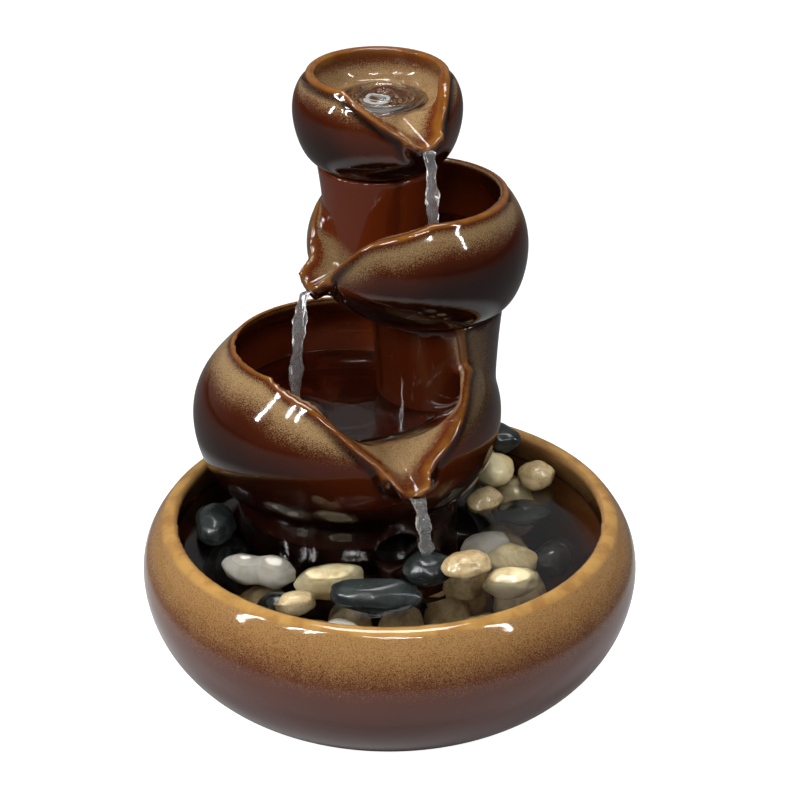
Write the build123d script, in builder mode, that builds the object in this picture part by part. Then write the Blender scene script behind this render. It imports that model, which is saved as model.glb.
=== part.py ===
# Tabletop water fountain: three glazed vessels stacked on a hollow foot in a round basin,
# with a small submersible pump under the foot and a riser tube up to the top vessel.
# Millimetres, +Z up, origin under the middle of the basin, -Y towards the viewer.
import math
import os

from build123d import *

# Overall sizes
basin_width = 209.55
basin_depth = 203.2
fit_clearance = 0.3

# Basin
basin_wall = 8.0
basin_foot_width = 108.0
basin_foot_ring = 8.0
basin_foot_recess = 6.0
basin_recess_taper = 20.0
basin_belly_height = 52.0
basin_height = 75.0
basin_mouth_width = 190.0
basin_floor = 20.0
basin_floor_width = 140.0
basin_outer_round = 4.0
basin_inner_round = 1.6

# Lower vessel, with the hollow foot that covers the pump
lower_wall = 7.0
lower_foot_x = -10.0
lower_foot_y = 20.0
lower_foot_radius = 41.0
lower_foot_out = 0.6
lower_foot_up = 0.5
lower_flange_height = 60.0
lower_flange_radius = 48.0
lower_waist_height = 73.0
lower_waist_radius = 46.0
lower_belly_x = -18.0
lower_belly_y = 33.0
lower_belly_height = 107.0
lower_belly_radius = 66.0
lower_belly_depth = 60.0
lower_mouth_height = 139.0
lower_mouth_radius = 48.0
lower_bowl_floor = 105.0
lower_bowl_radius = 30.0
lower_bowl_setback = 10.0
lower_spout_angle = -65.0
lower_spout_reach = 68.0
lower_spout_height = 98.0
lower_notch_depth = 23.0
lower_notch_left = 30.0
lower_notch_right = 36.0
lower_beak_radius = 20.0
lower_collar_x = 20.0
lower_collar_y = 45.0
lower_collar_radius = 28.5
lower_collar_height = 152.0
lower_column_start = 84.0
chamber_wall = 6.0
chamber_height = 90.0
chamber_radius = 41.0
cord_notch_width = 11.0
cord_notch_height = 8.0
intake_hole_width = 18.0
intake_hole_height = 14.0
intake_hole_centre = 58.0
intake_hole_x = 3.0

# Middle vessel, with heights counted from the lower collar
middle_wall = 6.0
middle_foot_radius = 20.0
middle_neck_radius = 26.0
middle_belly_x = 12.0
middle_belly_y = 45.0
middle_belly_rise = 27.0
middle_belly_radius = 46.5
middle_mouth_rise = 51.0
middle_mouth_radius = 37.0
middle_bowl_rise = 20.0
middle_bowl_radius = 24.0
middle_bowl_setback = 6.0
middle_spout_angle = 206.0
middle_spout_reach = 50.0
middle_spout_rise = 14.0
middle_notch_depth = 23.0
middle_notch_left = 14.0
middle_notch_right = 24.0
middle_beak_radius = 14.0
middle_collar_x = -4.5
middle_collar_y = 48.0
middle_collar_radius = 25.5
middle_collar_rise = 63.0
middle_column_rise = 16.0

# Top vessel, with heights counted from the middle collar
top_wall = 5.0
top_foot_radius = 18.0
top_neck_radius = 23.0
top_height = 39.0
top_belly_rise = 24.0
top_belly_radius = 35.0
top_mouth_radius = 28.5
top_bowl_rise = 25.0
top_bowl_radius = 18.0
top_bowl_setback = 5.0
top_spout_angle = -57.0
top_spout_reach = 37.0
top_spout_rise = 16.0
top_notch_depth = 16.0
top_notch_left = 27.0
top_notch_right = 15.0
top_beak_radius = 12.0

# Riser tube from the pump to the floor of the top bowl
tube_radius = 5.0
tube_bore = 3.5
tube_clearance = 0.4
tube_first_bend = 72.0
tube_second_bend = 101.0
tube_third_drop = 10.0
tube_fourth_drop = 18.0
tube_end_rise = 0.5
tube_low_radius = 14.0
tube_high_radius = 40.0

# Pump on its suction cups, with the rotor lying along Y and the intake at the front
pump_shift_x = -1.0
pump_shift_y = 2.0
pump_width = 36.0
pump_height = 28.0
pump_edge = 2.5
cup_height = 5.0
cup_radius = 6.0
cup_stud_radius = 1.5
cup_taper = 28.0
cup_spread_x = 24.0
cup_spread_y = 15.0
housing_depth = 26.0
housing_wall = 2.5
cover_depth = 9.0
strainer_depth = 9.0
strainer_wall = 1.8
joint_face = -2.0
well_bore = 6.4
well_wall = 1.4
well_depth = 11.5
bush_radius = 3.0
bush_length = 2.2
shaft_radius = 1.0
running_fit = 0.06
magnet_radius = 5.7
magnet_length = 9.5
impeller_radius = 7.6
impeller_height = 5.0
impeller_chamber = 8.6
impeller_chamber_depth = 6.2
blade_count = 6
blade_thickness = 1.2
seal_inner = 9.6
seal_width = 2.0
seal_thickness = 1.6
inlet_radius = 5.6
spider_arms = 3
spider_turn = 30.0
nozzle_bore = 2.2
nozzle_length = 10.0
nozzle_shoulder = 1.0
core_leg = 4.0
core_height = 16.0
coil_margin = 1.6
dial_radius = 8.0
dial_thickness = 2.2
dial_stem_radius = 1.6
slot_count = 9
slot_width = 1.5
slot_height = 19.0
gland_radius = 4.5
gland_length = 4.5
gland_bore = 2.4
gland_taper = 8.0

# Pebbles: a bed of large ones on the floor, with smaller polished ones laid on it
stone_plan_stretch = 33 / 32
bed_step = 38.0
outer_bed_share = 0.534
outer_bed_count = 6
outer_bed_start = -160.0
outer_bed_length = 34.0
outer_bed_width = 23.0
inner_bed_share = 0.334
inner_bed_count = 4
inner_bed_start = -120.0
inner_bed_length = 21.0
inner_bed_width = 18.0
bed_height = 29.0
pebble_cap_angle = 67.0
pebble_gap = 0.6
pebble_samples = 12
pebble_turns = (-pebble_cap_angle, -37, 0, 37, pebble_cap_angle)

# Seats, channels and rims that the three vessels share
socket_depth = 9.0
seam_gap = 0.4
collar_flare = 2.0
channel_slope = 18.0
channel_round = 5.0
shoulder_round = 10.0
lip_thickness = 3.5
beak_tip_radius = 7.0
bowl_overlap = 1.0
inner_closing = 1.2
bowl_wall_share = 1.5
rim_thickness = 4.0
bulb_turns = (0, 22, 45, 68)
bulb_shares = (0, 0.35, 0.7, 1)

# Heights of the stacked vessels and of the tube's bends
middle_belly_height = lower_collar_height + middle_belly_rise
middle_mouth_height = lower_collar_height + middle_mouth_rise
middle_bowl_floor = lower_collar_height + middle_bowl_rise
middle_spout_height = lower_collar_height + middle_spout_rise
middle_column_start = lower_collar_height + middle_column_rise
middle_collar_height = lower_collar_height + middle_collar_rise
top_belly_height = middle_collar_height + top_belly_rise
top_bowl_floor = middle_collar_height + top_bowl_rise
top_spout_height = middle_collar_height + top_spout_rise
total_height = middle_collar_height + top_height
tube_third_bend = lower_collar_height - tube_third_drop
tube_fourth_bend = middle_collar_height - tube_fourth_drop
tube_end = top_bowl_floor + tube_end_rise

os.makedirs("parts", exist_ok=True)


def between(low, high, outward, upward):
    """A level part of the way between two levels, with its own shares out and up."""
    height = low[0] + (high[0] - low[0]) * upward
    return (height, *(a + (b - a) * outward for a, b in zip(low[1:], high[1:])))


def bulb_levels(neck, belly, mouth, closing=2.0):
    """Ovals up a round bulb; a level is (height, x, y, half width, half depth)."""
    levels = []
    for turn in bulb_turns:
        angle = math.radians(turn)
        levels.append(between(neck, belly, math.sin(angle), 1 - math.cos(angle)))
    for share in bulb_shares:
        levels.append(between(belly, mouth, share ** closing, share))
    return levels


def oval_loft(levels):
    """A smooth body through horizontal ovals."""
    with BuildPart() as body:
        for height, centre_x, centre_y, half_width, half_depth in levels:
            with BuildSketch(Plane((centre_x, centre_y, height))):
                Ellipse(half_width, half_depth)
        loft()
    return body.part


def spout_plane(centre_x, centre_y, reach, tip_height, angle):
    """Stands across a sloping spout at its tip: local X runs across it, local Y runs up."""
    turn = math.radians(angle)
    slope = math.radians(channel_slope)
    outward = (math.cos(turn) * math.cos(slope), math.sin(turn) * math.cos(slope), -math.sin(slope))
    across = (-math.sin(turn), math.cos(turn), 0)
    tip = (centre_x + reach * math.cos(turn), centre_y + reach * math.sin(turn), tip_height)
    return Plane(origin=tip, x_dir=across, z_dir=outward)


def set_back(centre_x, centre_y, angle, distance):
    """A point behind a vessel's axis, on the side away from its spout."""
    turn = math.radians(angle)
    return centre_x - distance * math.cos(turn), centre_y - distance * math.sin(turn)


def spout_beak(plane, reach, root_radius):
    """The pinched cone that carries the channel out past the round body."""
    with BuildPart() as beak:
        with BuildSketch(plane.offset(-reach / 2)):
            with Locations((0, root_radius - lip_thickness)):
                Circle(root_radius)
        with BuildSketch(plane):
            with Locations((0, beak_tip_radius - lip_thickness)):
                Circle(beak_tip_radius)
        loft()
    return beak.part


def spout_channel(plane, reach, depth, left, right):
    """What is cut away above the rounded V of the spout, from the axis outwards."""
    side = 2 * reach + left + right
    with BuildPart() as channel:
        with BuildSketch(plane.offset(-reach)):
            with BuildLine():
                rim = FilletPolyline(
                    (-side, depth),
                    (-left, depth),
                    (0, 0),
                    (right, depth),
                    (side, depth),
                    radius=[shoulder_round, channel_round, shoulder_round],
                )
                Polyline(rim @ 1, (side, depth + side), (-side, depth + side), rim @ 0)
            make_face()
        extrude(amount=2 * reach)
    return channel.part


def collar(centre_x, centre_y, radius, bottom, top):
    """A column that flares to the collar in which the next vessel stands."""
    slim = radius - collar_flare
    return oval_loft([
        (bottom, centre_x, centre_y, slim, slim),
        (bottom / 3 + top * 2 / 3, centre_x, centre_y, slim, slim),
        (top, centre_x, centre_y, radius, radius),
    ])


# Where the pump stands, and the heights that follow from it
pump_x = lower_foot_x + pump_shift_x
pump_y = lower_foot_y + pump_shift_y
pump_bottom = basin_floor + cup_height
pump_top = pump_bottom + pump_height
rotor_height = pump_bottom + pump_height / 2
nozzle_y = pump_y + joint_face - impeller_chamber_depth / 2


def riser(outer, inner, end):
    """A tube along the riser's route, solid where inner is zero."""
    with BuildPart() as tube:
        with BuildLine() as route:
            FilletPolyline(
                (pump_x, nozzle_y, pump_top + nozzle_shoulder),
                (pump_x, nozzle_y, tube_first_bend),
                (lower_collar_x, lower_collar_y, tube_second_bend),
                (lower_collar_x, lower_collar_y, tube_third_bend),
                (middle_collar_x, middle_collar_y, tube_fourth_bend),
                (middle_collar_x, middle_collar_y, end),
                radius=[tube_low_radius, tube_low_radius, tube_high_radius, tube_high_radius],
            )
        with BuildSketch(Plane(origin=route.line @ 0, z_dir=route.line % 0)):
            Circle(outer)
            if inner:
                Circle(inner, mode=Mode.SUBTRACT)
        sweep()
    return tube.part


tube_passage = riser(tube_radius + tube_clearance, 0, total_height)

# Basin: a bowl that closes in at the lip, on a foot ring
basin_aspect = basin_depth / basin_width


def basin_level(height, width):
    return (height, 0, 0, width / 2, width / 2 * basin_aspect)


basin_outside = oval_loft(bulb_levels(
    basin_level(0, basin_foot_width),
    basin_level(basin_belly_height, basin_width),
    basin_level(basin_height, basin_mouth_width),
))
basin_inner_levels = bulb_levels(
    basin_level(basin_floor, basin_floor_width),
    basin_level(basin_belly_height, basin_width - 2 * basin_wall),
    basin_level(basin_height + bowl_overlap, basin_mouth_width - 2 * basin_wall),
    inner_closing,
)
basin_inside = oval_loft(basin_inner_levels)
with BuildPart() as basin:
    add(basin_outside)
    add(basin_inside, mode=Mode.SUBTRACT)
    recess_radius = basin_foot_width / 2 - basin_foot_ring
    with BuildSketch():
        Ellipse(recess_radius, recess_radius * basin_aspect)
    extrude(amount=basin_foot_recess, taper=basin_recess_taper, mode=Mode.SUBTRACT)
    lip_edges = basin.faces().sort_by(Axis.Z)[-1].edges().sort_by(SortBy.LENGTH)
    fillet(lip_edges[-1], basin_outer_round)
    fillet(basin.faces().sort_by(Axis.Z)[-1].edges().sort_by(SortBy.LENGTH)[0], basin_inner_round)
basin.part.label = "basin"
export_step(basin.part, "parts/basin.step")

# Lower vessel
lower_plane = spout_plane(
    lower_belly_x, lower_belly_y, lower_spout_reach, lower_spout_height, lower_spout_angle
)
lower_back = set_back(lower_belly_x, lower_belly_y, lower_spout_angle, lower_bowl_setback)
lower_aspect = lower_belly_depth / lower_belly_radius


def lower_level(height, radius):
    return (height, lower_belly_x, lower_belly_y, radius, radius * lower_aspect)


foot_level = (basin_floor, lower_foot_x, lower_foot_y, lower_foot_radius, lower_foot_radius)
flange_level = lower_level(lower_flange_height, lower_flange_radius)
lower_foot = oval_loft([
    foot_level,
    between(foot_level, flange_level, lower_foot_out, lower_foot_up),
    flange_level,
    lower_level(lower_waist_height, lower_waist_radius),
])
lower_bulb = oval_loft(bulb_levels(
    lower_level(lower_waist_height, lower_waist_radius),
    lower_level(lower_belly_height, lower_belly_radius),
    lower_level(lower_mouth_height, lower_mouth_radius),
))
lower_bowl_height = (lower_belly_height + lower_mouth_height) / 2
lower_bowl = oval_loft(bulb_levels(
    (lower_bowl_floor, *lower_back, lower_bowl_radius, lower_bowl_radius * lower_aspect),
    lower_level(lower_bowl_height, lower_belly_radius - bowl_wall_share * lower_wall),
    lower_level(lower_mouth_height + bowl_overlap, lower_mouth_radius - rim_thickness),
    inner_closing,
))
lower_beak = spout_beak(lower_plane, lower_spout_reach, lower_beak_radius)
lower_channel = spout_channel(
    lower_plane, lower_spout_reach, lower_notch_depth, lower_notch_left, lower_notch_right
)
lower_column = collar(
    lower_collar_x, lower_collar_y, lower_collar_radius, lower_column_start, lower_collar_height
)
lower_chamber = oval_loft([
    (basin_floor - bowl_overlap, lower_foot_x, lower_foot_y, lower_foot_radius - chamber_wall,
     lower_foot_radius - chamber_wall),
    lower_level(lower_flange_height, chamber_radius),
    lower_level(chamber_height, chamber_radius),
])
intake_start = (intake_hole_x, lower_foot_y, intake_hole_centre)
intake_plane = Plane(intake_start, x_dir=(1, 0, 0), z_dir=(0, -1, 0))
cord_plane = Plane((lower_foot_x, lower_foot_y, basin_floor), x_dir=(-1, 0, 0), z_dir=(0, 1, 0))
with BuildPart() as lower_vessel:
    add(lower_bulb)
    add(lower_beak)
    add(lower_bowl, mode=Mode.SUBTRACT)
    add(lower_channel, mode=Mode.SUBTRACT)
    add(lower_column)
    add(lower_foot)
    add(lower_chamber, mode=Mode.SUBTRACT)
    add(tube_passage, mode=Mode.SUBTRACT)
    with BuildSketch(intake_plane):
        Ellipse(intake_hole_width / 2, intake_hole_height / 2)
    extrude(amount=2 * lower_flange_radius, mode=Mode.SUBTRACT)
    with BuildSketch(cord_plane):
        SlotOverall(2 * cord_notch_height, cord_notch_width, rotation=90)
    extrude(amount=2 * lower_foot_radius, mode=Mode.SUBTRACT)
    with BuildSketch(Plane((lower_collar_x, lower_collar_y, lower_collar_height - socket_depth))):
        Circle(middle_foot_radius + fit_clearance)
    extrude(amount=socket_depth, mode=Mode.SUBTRACT)
lower_vessel.part.label = "lower_vessel"
export_step(lower_vessel.part, "parts/lower_vessel.step")

# Middle vessel
middle_plane = spout_plane(
    middle_belly_x, middle_belly_y, middle_spout_reach, middle_spout_height, middle_spout_angle
)
middle_back = set_back(middle_belly_x, middle_belly_y, middle_spout_angle, middle_bowl_setback)


def middle_level(height, radius):
    return (height, middle_belly_x, middle_belly_y, radius, radius)


middle_start = lower_collar_height + seam_gap
middle_bulb = oval_loft(bulb_levels(
    (middle_start, lower_collar_x, lower_collar_y, middle_neck_radius, middle_neck_radius),
    middle_level(middle_belly_height, middle_belly_radius),
    middle_level(middle_mouth_height, middle_mouth_radius),
))
middle_bowl_height = (middle_belly_height + middle_mouth_height) / 2
middle_bowl = oval_loft(bulb_levels(
    (middle_bowl_floor, *middle_back, middle_bowl_radius, middle_bowl_radius),
    middle_level(middle_bowl_height, middle_belly_radius - bowl_wall_share * middle_wall),
    middle_level(middle_mouth_height + bowl_overlap, middle_mouth_radius - rim_thickness),
    inner_closing,
))
middle_beak = spout_beak(middle_plane, middle_spout_reach, middle_beak_radius)
middle_channel = spout_channel(
    middle_plane, middle_spout_reach, middle_notch_depth, middle_notch_left, middle_notch_right
)
middle_column = collar(
    middle_collar_x, middle_collar_y, middle_collar_radius, middle_column_start, middle_collar_height
)
with BuildPart() as middle_vessel:
    add(middle_bulb)
    add(middle_beak)
    add(middle_bowl, mode=Mode.SUBTRACT)
    add(middle_channel, mode=Mode.SUBTRACT)
    add(middle_column)
    with BuildSketch(Plane((lower_collar_x, lower_collar_y, lower_collar_height - socket_depth))):
        Circle(middle_foot_radius)
    extrude(amount=socket_depth + seam_gap)
    with BuildSketch(Plane((middle_collar_x, middle_collar_y, middle_collar_height - socket_depth))):
        Circle(top_foot_radius + fit_clearance)
    extrude(amount=socket_depth, mode=Mode.SUBTRACT)
    add(tube_passage, mode=Mode.SUBTRACT)
middle_vessel.part.label = "middle_vessel"
export_step(middle_vessel.part, "parts/middle_vessel.step")

# Top vessel
top_plane = spout_plane(
    middle_collar_x, middle_collar_y, top_spout_reach, top_spout_height, top_spout_angle
)
top_back = set_back(middle_collar_x, middle_collar_y, top_spout_angle, top_bowl_setback)


def top_level(height, radius):
    return (height, middle_collar_x, middle_collar_y, radius, radius)


top_bulb = oval_loft(bulb_levels(
    top_level(middle_collar_height + seam_gap, top_neck_radius),
    top_level(top_belly_height, top_belly_radius),
    top_level(total_height, top_mouth_radius),
))
top_bowl = oval_loft(bulb_levels(
    (top_bowl_floor, *top_back, top_bowl_radius, top_bowl_radius),
    top_level((top_belly_height + total_height) / 2, top_belly_radius - bowl_wall_share * top_wall),
    top_level(total_height + bowl_overlap, top_mouth_radius - rim_thickness),
    inner_closing,
))
top_beak = spout_beak(top_plane, top_spout_reach, top_beak_radius)
top_channel = spout_channel(top_plane, top_spout_reach, top_notch_depth, top_notch_left, top_notch_right)
with BuildPart() as top_vessel:
    add(top_bulb)
    add(top_beak)
    add(top_bowl, mode=Mode.SUBTRACT)
    add(top_channel, mode=Mode.SUBTRACT)
    with BuildSketch(Plane((middle_collar_x, middle_collar_y, middle_collar_height - socket_depth))):
        Circle(top_foot_radius)
    extrude(amount=socket_depth + seam_gap)
    add(tube_passage, mode=Mode.SUBTRACT)
top_vessel.part.label = "top_vessel"
export_step(top_vessel.part, "parts/top_vessel.step")

# Riser tube
with BuildPart() as riser_tube:
    add(riser(tube_radius, tube_bore, tube_end))
riser_tube.part.label = "riser_tube"
export_step(riser_tube.part, "parts/riser_tube.step")


def facing_front(y, x=0.0, z=0.0):
    """A plane across the rotor's axis that looks to the front, y behind the pump's middle."""
    return Plane((pump_x + x, pump_y + y, rotor_height + z), x_dir=(1, 0, 0), z_dir=(0, -1, 0))


housing_back = joint_face + housing_depth
well_end = joint_face + well_depth + bush_length
cover_front = joint_face - cover_depth
strainer_front = cover_front - strainer_depth

# Pump housing: motor box, open at the back for the potting, with the rotor well inside
with BuildPart() as pump_housing:
    with BuildSketch(facing_front(housing_back)):
        RectangleRounded(pump_width, pump_height, pump_edge)
    extrude(amount=housing_depth)
    with BuildSketch(facing_front(housing_back)):
        RectangleRounded(pump_width - 2 * housing_wall, pump_height - 2 * housing_wall, pump_edge / 2)
    extrude(amount=housing_depth - housing_wall, mode=Mode.SUBTRACT)
    with BuildSketch(facing_front(well_end + well_wall)):
        Circle(well_bore + well_wall)
    extrude(amount=well_end + well_wall - joint_face)
    with BuildSketch(facing_front(joint_face + well_depth)):
        Circle(well_bore)
    extrude(amount=well_depth, mode=Mode.SUBTRACT)
    with BuildSketch(facing_front(well_end)):
        Circle(bush_radius)
    extrude(amount=bush_length, mode=Mode.SUBTRACT)
    with BuildSketch(facing_front(joint_face + seal_thickness)):
        Circle(seal_inner + seal_width)
        Circle(seal_inner, mode=Mode.SUBTRACT)
    extrude(amount=seal_thickness, mode=Mode.SUBTRACT)
    with BuildSketch(Plane((pump_x, pump_y + (joint_face + housing_back) / 2, pump_bottom))):
        with GridLocations(cup_spread_x, cup_spread_y, 2, 2):
            Circle(cup_stud_radius)
    extrude(amount=housing_wall, mode=Mode.SUBTRACT)
pump_housing.part.label = "pump_housing"
export_step(pump_housing.part, "parts/pump_housing.step")

# Stator: a laminated U round the rotor well, with the coil on its yoke
leg_inside = well_bore + well_wall + fit_clearance
yoke_front = well_end + well_wall + coil_margin + fit_clearance
yoke_back = yoke_front + core_leg
core_front = joint_face + housing_wall + fit_clearance
with BuildPart() as stator_core:
    with BuildSketch(facing_front(yoke_back)):
        Rectangle(2 * (leg_inside + core_leg), core_height)
    extrude(amount=yoke_back - core_front)
    with BuildSketch(facing_front(yoke_front)):
        Rectangle(2 * leg_inside, core_height)
    extrude(amount=yoke_front - core_front, mode=Mode.SUBTRACT)
stator_core.part.label = "stator_core"
export_step(stator_core.part, "parts/stator_core.step")

with BuildPart() as stator_coil:
    with BuildSketch(facing_front(yoke_back + coil_margin)):
        RectangleRounded(2 * (leg_inside - fit_clearance), core_height + 2 * coil_margin, coil_margin)
    extrude(amount=core_leg + 2 * coil_margin)
    with BuildSketch(facing_front(yoke_back)):
        Rectangle(2 * leg_inside, core_height)
    extrude(amount=core_leg, mode=Mode.SUBTRACT)
stator_coil.part.label = "stator_coil"
export_step(stator_coil.part, "parts/stator_coil.step")

# Potting resin that fills the motor box round the stator
with BuildPart() as motor_potting:
    with BuildSketch(facing_front(housing_back)):
        RectangleRounded(pump_width - 2 * housing_wall, pump_height - 2 * housing_wall, pump_edge / 2)
    extrude(amount=housing_depth - housing_wall)
    add(stator_core.part, mode=Mode.SUBTRACT)
    add(stator_coil.part, mode=Mode.SUBTRACT)
    with BuildSketch(facing_front(well_end + well_wall)):
        Circle(well_bore + well_wall)
    extrude(amount=well_end + well_wall - joint_face, mode=Mode.SUBTRACT)
motor_potting.part.label = "motor_potting"
export_step(motor_potting.part, "parts/motor_potting.step")

# Chamber cover: impeller chamber, inlet with a spider for the front bush, and the outlet nozzle
bush_front = joint_face - impeller_chamber_depth - bush_length
with BuildPart() as chamber_cover:
    with BuildSketch(facing_front(joint_face)):
        RectangleRounded(pump_width, pump_height, pump_edge)
    extrude(amount=cover_depth)
    with BuildSketch(Plane((pump_x, nozzle_y, pump_top))):
        Circle(tube_bore - running_fit)
    extrude(amount=nozzle_length)
    with BuildSketch(facing_front(joint_face)):
        Circle(impeller_chamber)
    extrude(amount=impeller_chamber_depth, mode=Mode.SUBTRACT)
    with BuildSketch(facing_front(joint_face - impeller_chamber_depth)):
        Circle(inlet_radius)
        Circle(bush_radius + strainer_wall, mode=Mode.SUBTRACT)
        with PolarLocations(inlet_radius / 2, spider_arms, start_angle=spider_turn):
            Rectangle(inlet_radius, strainer_wall, mode=Mode.SUBTRACT)
    extrude(amount=cover_depth, mode=Mode.SUBTRACT)
    with BuildSketch(facing_front(joint_face - impeller_chamber_depth)):
        Circle(bush_radius)
    extrude(amount=bush_length, mode=Mode.SUBTRACT)
    with BuildSketch(Plane((pump_x, nozzle_y, rotor_height))):
        Circle(nozzle_bore)
    extrude(amount=pump_height, mode=Mode.SUBTRACT)
chamber_cover.part.label = "chamber_cover"
export_step(chamber_cover.part, "parts/chamber_cover.step")

# Square-section seal ring between the housing and the chamber cover
with BuildPart() as seal_ring:
    with BuildSketch(facing_front(joint_face + seal_thickness)):
        Circle(seal_inner + seal_width)
        Circle(seal_inner, mode=Mode.SUBTRACT)
    extrude(amount=seal_thickness)
seal_ring.part.label = "seal_ring"
export_step(seal_ring.part, "parts/seal_ring.step")

# Rubber bushes at both ends of the fixed ceramic shaft
for bush_name, bush_back in (("rear_bush", well_end), ("front_bush", joint_face - impeller_chamber_depth)):
    with BuildPart() as shaft_bush:
        with BuildSketch(facing_front(bush_back)):
            Circle(bush_radius)
            Circle(shaft_radius, mode=Mode.SUBTRACT)
        extrude(amount=bush_length)
    shaft_bush.part.label = bush_name
    export_step(shaft_bush.part, f"parts/{bush_name}.step")

with BuildPart() as impeller_shaft:
    with BuildSketch(facing_front(well_end)):
        Circle(shaft_radius)
    extrude(amount=well_end - bush_front)
impeller_shaft.part.label = "impeller_shaft"
export_step(impeller_shaft.part, "parts/impeller_shaft.step")

# Impeller: a sleeve that turns on the shaft, a back plate and straight blades
sleeve_radius = bush_radius - fit_clearance
sleeve_back = joint_face + well_depth - fit_clearance
plate_back = joint_face - fit_clearance
blade_front = plate_back - impeller_height
with BuildPart() as impeller:
    with BuildSketch(facing_front(sleeve_back)):
        Circle(sleeve_radius)
    extrude(amount=sleeve_back - blade_front)
    with BuildSketch(facing_front(plate_back)):
        Circle(magnet_radius)
    extrude(amount=blade_thickness)
    with BuildSketch(facing_front(plate_back)):
        with PolarLocations(impeller_radius / 2, blade_count):
            Rectangle(impeller_radius, blade_thickness)
    extrude(amount=impeller_height)
    with BuildSketch(facing_front(sleeve_back)):
        Circle(shaft_radius + running_fit)
    extrude(amount=sleeve_back - blade_front, mode=Mode.SUBTRACT)
impeller.part.label = "impeller"
export_step(impeller.part, "parts/impeller.step")

# Ring magnet of the rotor, on the impeller's sleeve
with BuildPart() as rotor_magnet:
    with BuildSketch(facing_front(plate_back + magnet_length)):
        Circle(magnet_radius)
        Circle(sleeve_radius, mode=Mode.SUBTRACT)
    extrude(amount=magnet_length)
rotor_magnet.part.label = "rotor_magnet"
export_step(rotor_magnet.part, "parts/rotor_magnet.step")

# Slotted strainer over the inlet, with a hub for the flow dial
with BuildPart() as intake_strainer:
    with BuildSketch(facing_front(cover_front)):
        RectangleRounded(pump_width, pump_height, pump_edge)
    extrude(amount=strainer_depth)
    with BuildSketch(facing_front(cover_front)):
        RectangleRounded(pump_width - 2 * strainer_wall, pump_height - 2 * strainer_wall, pump_edge / 2)
    extrude(amount=strainer_depth - strainer_wall, mode=Mode.SUBTRACT)
    with BuildSketch(facing_front(strainer_front + strainer_wall)):
        with GridLocations(2 * slot_width, 1, slot_count, 1):
            Rectangle(slot_width, slot_height)
        Circle(dial_stem_radius + strainer_wall, mode=Mode.SUBTRACT)
    extrude(amount=strainer_wall, mode=Mode.SUBTRACT)
    with BuildSketch(facing_front(strainer_front + strainer_wall)):
        Circle(dial_stem_radius + running_fit)
    extrude(amount=strainer_wall, mode=Mode.SUBTRACT)
intake_strainer.part.label = "intake_strainer"
export_step(intake_strainer.part, "parts/intake_strainer.step")

# Flow dial: a half-open disc that turns in front of the slots, with a grip bar
with BuildPart() as flow_dial:
    with BuildSketch(facing_front(strainer_front)):
        Circle(dial_radius)
        with Locations((0, dial_radius)):
            Rectangle(2 * dial_radius, dial_radius, mode=Mode.SUBTRACT)
    extrude(amount=dial_thickness)
    with BuildSketch(facing_front(strainer_front)):
        Rectangle(2 * dial_radius - blade_thickness, 2 * blade_thickness)
    extrude(amount=2 * dial_thickness)
    with BuildSketch(facing_front(strainer_front + strainer_wall)):
        Circle(dial_stem_radius)
    extrude(amount=strainer_wall)
flow_dial.part.label = "flow_dial"
export_step(flow_dial.part, "parts/flow_dial.step")

# Four suction cups with studs in the bottom of the housing
cup_centre = Plane((pump_x, pump_y + (joint_face + housing_back) / 2, basin_floor))
with BuildPart() as suction_cups:
    with BuildSketch(cup_centre):
        with GridLocations(cup_spread_x, cup_spread_y, 2, 2):
            Circle(cup_radius)
    extrude(amount=cup_height, taper=cup_taper)
    with BuildSketch(cup_centre.offset(cup_height)):
        with GridLocations(cup_spread_x, cup_spread_y, 2, 2):
            Circle(cup_stud_radius)
    extrude(amount=housing_wall)
suction_cups.part.label = "suction_cups"
export_step(suction_cups.part, "parts/suction_cups.step")

# Gland through which the supply lead enters the potting
with BuildPart() as cable_gland:
    with BuildSketch(facing_front(housing_back + gland_length)):
        Circle(gland_radius)
    extrude(amount=gland_length, taper=-gland_taper)
    with BuildSketch(facing_front(housing_back + gland_length)):
        Circle(gland_bore)
    extrude(amount=gland_length, mode=Mode.SUBTRACT)
cable_gland.part.label = "cable_gland"
export_step(cable_gland.part, "parts/cable_gland.step")

# Pebbles, each as (name, x, y, length, width, height, turn), laid in this order
half_plan_width = basin_width / 2
half_plan_depth = basin_depth * stone_plan_stretch / 2
bed = []
for row, away, count, start, length, width in (
    ("outer", outer_bed_share, outer_bed_count, outer_bed_start, outer_bed_length, outer_bed_width),
    ("inner", inner_bed_share, inner_bed_count, inner_bed_start, inner_bed_length, inner_bed_width),
):
    for number in range(count):
        turn = start + bed_step * number
        bed_x = away * half_plan_width * math.cos(math.radians(turn))
        bed_y = away * half_plan_depth * math.sin(math.radians(turn))
        bed.append((f"{row}_bed_pebble_{number + 1}", bed_x, bed_y, length, width, bed_height, turn + 90))

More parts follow.
